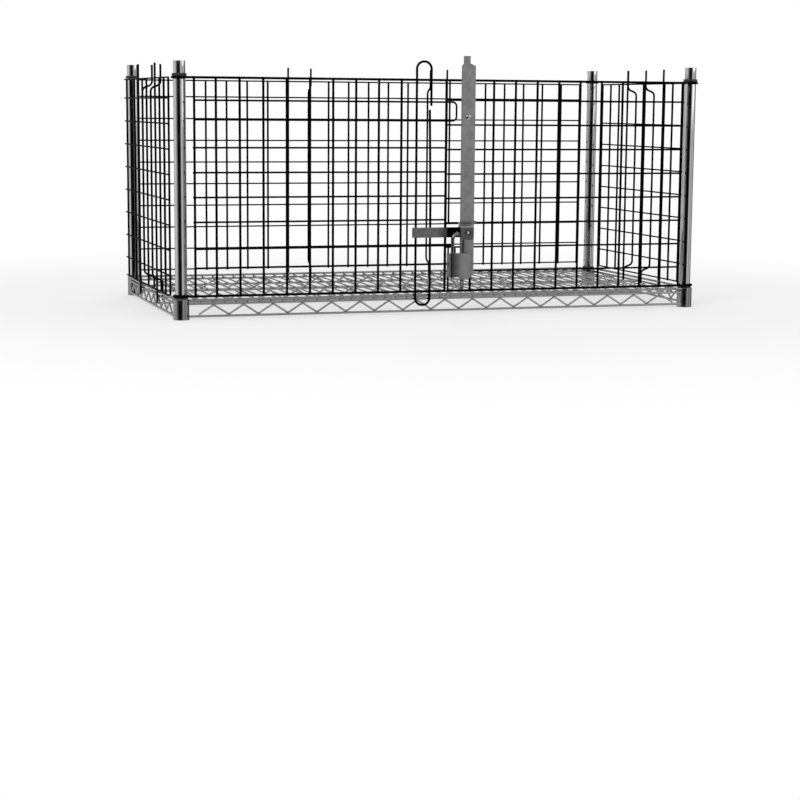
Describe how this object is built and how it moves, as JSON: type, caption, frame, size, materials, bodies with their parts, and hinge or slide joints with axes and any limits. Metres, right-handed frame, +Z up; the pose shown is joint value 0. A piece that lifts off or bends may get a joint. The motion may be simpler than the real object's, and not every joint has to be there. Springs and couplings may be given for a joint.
{
  "type": "security cage",
  "caption": "Lockable wire mesh cage round one bay of a post-and-shelf rack, with two hinged mesh doors, a flat lock bar, a swinging latch arm and a hanging padlock.",
  "frame": {"origin": "middle of the cage's footprint, on the plane that the corner collars stand on", "axes": "+X along the long side, to the right as seen from the doors; +Y from the doors to the back panel; +Z up along the posts"},
  "size_m": [1.2168, 0.6386, 0.5591],
  "materials": {
    "post_chrome": "bright chrome plate on drawn tube",
    "collar_steel": "bright chrome plate",
    "sleeve_plastic": "black moulded plastic",
    "shelf_wire": "bright chrome plated wire",
    "panel_wire": "dark bright-drawn wire under chrome plate",
    "door_wire": "dark bright-drawn wire under chrome plate",
    "bar_steel": "satin plated flat bar",
    "latch_steel": "satin plated sheet and bar",
    "fastener_steel": "bright plated steel",
    "padlock_case": "satin laminated-look steel case, bare",
    "shackle_steel": "polished hardened steel",
    "plug_brass": "satin brass"
  },
  "bodies": {
    "cage_frame": {"post_front_left": "post_chrome", "post_front_right": "post_chrome", "post_rear_left": "post_chrome", "post_rear_right": "post_chrome", "corner_collars": "collar_steel", "lower_split_sleeves": "sleeve_plastic", "upper_sleeve_rims": "sleeve_plastic", "deck_wires": "shelf_wire", "deck_runner_wires": "shelf_wire", "centre_truss_chords": "shelf_wire", "centre_truss_zigzag": "shelf_wire", "front_truss_chords": "shelf_wire", "front_truss_zigzag": "shelf_wire", "rear_truss_chords": "shelf_wire", "rear_truss_zigzag": "shelf_wire", "left_truss_chords": "shelf_wire", "left_truss_zigzag": "shelf_wire", "right_truss_chords": "shelf_wire", "right_truss_zigzag": "shelf_wire", "back_panel_uprights": "panel_wire", "back_panel_prongs": "panel_wire", "back_panel_hooks": "panel_wire", "back_panel_cross_wires": "panel_wire", "left_panel_uprights": "panel_wire", "left_panel_prongs": "panel_wire", "left_panel_hooks": "panel_wire", "left_panel_cross_wires": "panel_wire", "right_panel_uprights": "panel_wire", "right_panel_prongs": "panel_wire", "right_panel_hooks": "panel_wire", "right_panel_cross_wires": "panel_wire"},
    "left_door": {"left_door_uprights": "door_wire", "left_door_cross_wires": "door_wire", "left_door_hinge_wires": "door_wire", "left_door_keeper_loops": "door_wire", "left_door_long_loop": "door_wire"},
    "right_door": {"right_door_uprights": "door_wire", "right_door_cross_wires": "door_wire", "right_door_hinge_wires": "door_wire", "lock_bar": "bar_steel", "lock_bar_bolt": "fastener_steel", "lock_bar_clamp_plate": "fastener_steel", "lock_bar_nut": "fastener_steel", "hasp_bracket": "latch_steel", "pivot_rivet": "fastener_steel", "pivot_washer": "fastener_steel"},
    "latch_arm": {"latch_arm": "latch_steel"},
    "padlock_shackle": {"padlock_shackle": "shackle_steel"},
    "padlock_body": {"padlock_body": "padlock_case"},
    "padlock_plug": {"padlock_plug": "plug_brass"}
  },
  "joints": [
    {"name": "left_door_swing", "type": "hinge", "parent": "cage_frame", "child": "left_door", "pos_m": [-0.585, -0.26509, 0.05047], "axis": [0, 0, -1], "range_deg": [0, 170]},
    {"name": "right_door_swing", "type": "hinge", "parent": "cage_frame", "child": "right_door", "pos_m": [0.585, -0.26509, 0.05047], "axis": [0, 0, 1], "range_deg": [0, 170]},
    {"name": "latch_arm_swing", "type": "hinge", "parent": "right_door", "child": "latch_arm", "pos_m": [0.0395, -0.29339, 0.17947], "axis": [0, -1, 0], "range_deg": [-12, 34]},
    {"name": "padlock_swing", "type": "hinge", "parent": "right_door", "child": "padlock_shackle", "pos_m": [0.0238, -0.30502, 0.17616], "axis": [-0.9945, -0.1045, 0], "range_deg": [0, 12]},
    {"name": "padlock_body_drop", "type": "slide", "parent": "padlock_shackle", "child": "padlock_body", "axis": [0, 0, -1], "range_m": [0, 0.01]},
    {"name": "padlock_plug_turn", "type": "hinge", "parent": "padlock_body", "child": "padlock_plug", "pos_m": [0.0193, -0.30549, 0.09197], "axis": [0, 0, 1], "range_deg": [0, 90]}
  ],
  "couplings": [
    {"joint": "right_door_swing", "follows": "left_door_swing", "ratio": 1}
  ]
}
